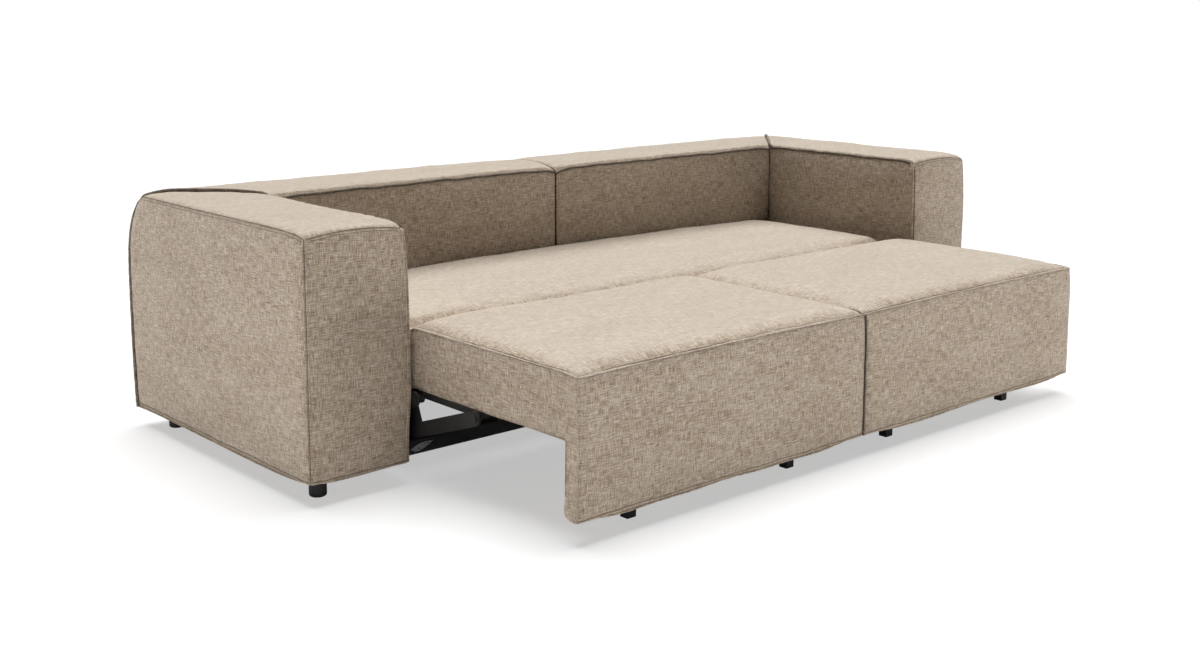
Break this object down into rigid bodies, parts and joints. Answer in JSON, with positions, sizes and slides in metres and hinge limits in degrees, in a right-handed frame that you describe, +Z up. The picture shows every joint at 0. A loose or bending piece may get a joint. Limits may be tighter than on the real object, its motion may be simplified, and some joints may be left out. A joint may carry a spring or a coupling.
{
  "type": "sleeper sofa with pull out bed",
  "caption": "Wide low upholstered sofa with block armrests mitred into the back, shown as a bed: seat modules swing out on parallel levers while a bench rises behind.",
  "frame": {"origin": "centre of the footprint with the bed open, on the floor", "axes": "+X to the viewer's right along the sofa's length, -Y to the viewer, +Z up"},
  "size_m": [2.89, 1.725, 0.738],
  "materials": {
    "upholstery": "woven, matt",
    "dust_cloth": "black non-woven cloth",
    "timber": "raw plywood",
    "black_steel": "satin black",
    "zinc": "zinc plated",
    "black_plastic": "matt black"
  },
  "bodies": {
    "base": {"arm_cover_left": "upholstery", "arm_cover_right": "upholstery", "arm_frame_left": "timber", "arm_frame_right": "timber", "arm_base_board_left": "timber", "arm_base_board_right": "timber", "back_cover_left": "upholstery", "back_cover_right": "upholstery", "rear_panel_left": "upholstery", "rear_panel_right": "upholstery", "back_frame_left": "timber", "back_frame_right": "timber", "side_plate_left": "black_steel", "side_plate_right": "black_steel", "catch_plate_left": "zinc", "catch_plate_right": "zinc", "base_pin_front_left": "black_steel", "base_pin_front_right": "black_steel", "base_pin_rear_left": "black_steel", "base_pin_rear_right": "black_steel", "arm_foot_front_left": "black_plastic", "arm_foot_front_right": "black_plastic", "arm_foot_rear_left": "black_plastic", "arm_foot_rear_right": "black_plastic", "rear_foot_left": "black_plastic", "rear_foot_right": "black_plastic", "front_rail": "black_steel", "rear_rail": "black_steel"},
    "front_seat": {"seat_cover_left": "upholstery", "seat_cover_right": "upholstery", "front_panel_left": "upholstery", "front_panel_right": "upholstery", "seat_frame_left": "timber", "seat_frame_right": "timber", "seat_side_bar_left": "black_steel", "seat_side_bar_right": "black_steel", "seat_foot_1_left": "black_plastic", "seat_foot_1_right": "black_plastic", "seat_foot_2_left": "black_plastic", "seat_foot_2_right": "black_plastic", "seat_dust_cover_left": "dust_cloth", "seat_dust_cover_right": "dust_cloth", "joining_plate": "black_steel"},
    "bench": {"bench_bearer_left": "black_steel", "bench_bearer_right": "black_steel", "bench_cover": "upholstery", "bench_frame": "timber", "bench_dust_cover": "dust_cloth"},
    "lever_front_left": {"lever_front_left": "black_steel", "seat_pin_front_left": "black_steel", "bench_pin_front_left": "black_steel"},
    "lever_front_right": {"lever_front_right": "black_steel", "seat_pin_front_right": "black_steel", "bench_pin_front_right": "black_steel"},
    "lever_rear_left": {"lever_rear_left": "black_steel", "seat_pin_rear_left": "black_steel", "bench_pin_rear_left": "black_steel"},
    "lever_rear_right": {"lever_rear_right": "black_steel", "seat_pin_rear_right": "black_steel", "bench_pin_rear_right": "black_steel"}
  },
  "joints": [
    {"name": "swing", "type": "hinge", "parent": "base", "child": "lever_front_left", "pos_m": [-1.098, -0.113, 0.12553], "axis": [-1, 0, 0], "range_deg": [0, 141.92]},
    {"name": "lever_rear_left_turn", "type": "hinge", "parent": "base", "child": "lever_rear_left", "pos_m": [-1.098, 0.147, 0.12553], "axis": [-1, 0, 0], "range_deg": [-1, 142.92]},
    {"name": "lever_front_right_turn", "type": "hinge", "parent": "base", "child": "lever_front_right", "pos_m": [1.098, -0.113, 0.12553], "axis": [-1, 0, 0], "range_deg": [-1, 142.92]},
    {"name": "lever_rear_right_turn", "type": "hinge", "parent": "base", "child": "lever_rear_right", "pos_m": [1.098, 0.147, 0.12553], "axis": [-1, 0, 0], "range_deg": [-1, 142.92]},
    {"name": "seat_level", "type": "hinge", "parent": "lever_front_left", "child": "front_seat", "pos_m": [-1.089, -0.4505, 0.242], "axis": [-1, 0, 0], "range_deg": [-142.92, 1]},
    {"name": "bench_level", "type": "hinge", "parent": "lever_front_left", "child": "bench", "pos_m": [-1.087, -0.07866, 0.22503], "axis": [-1, 0, 0], "range_deg": [-142.92, 1]}
  ],
  "couplings": [
    {"joint": "lever_rear_left_turn", "follows": "swing", "ratio": 1},
    {"joint": "lever_front_right_turn", "follows": "swing", "ratio": 1},
    {"joint": "lever_rear_right_turn", "follows": "swing", "ratio": 1},
    {"joint": "seat_level", "follows": "swing", "ratio": -1},
    {"joint": "bench_level", "follows": "swing", "ratio": -1}
  ]
}
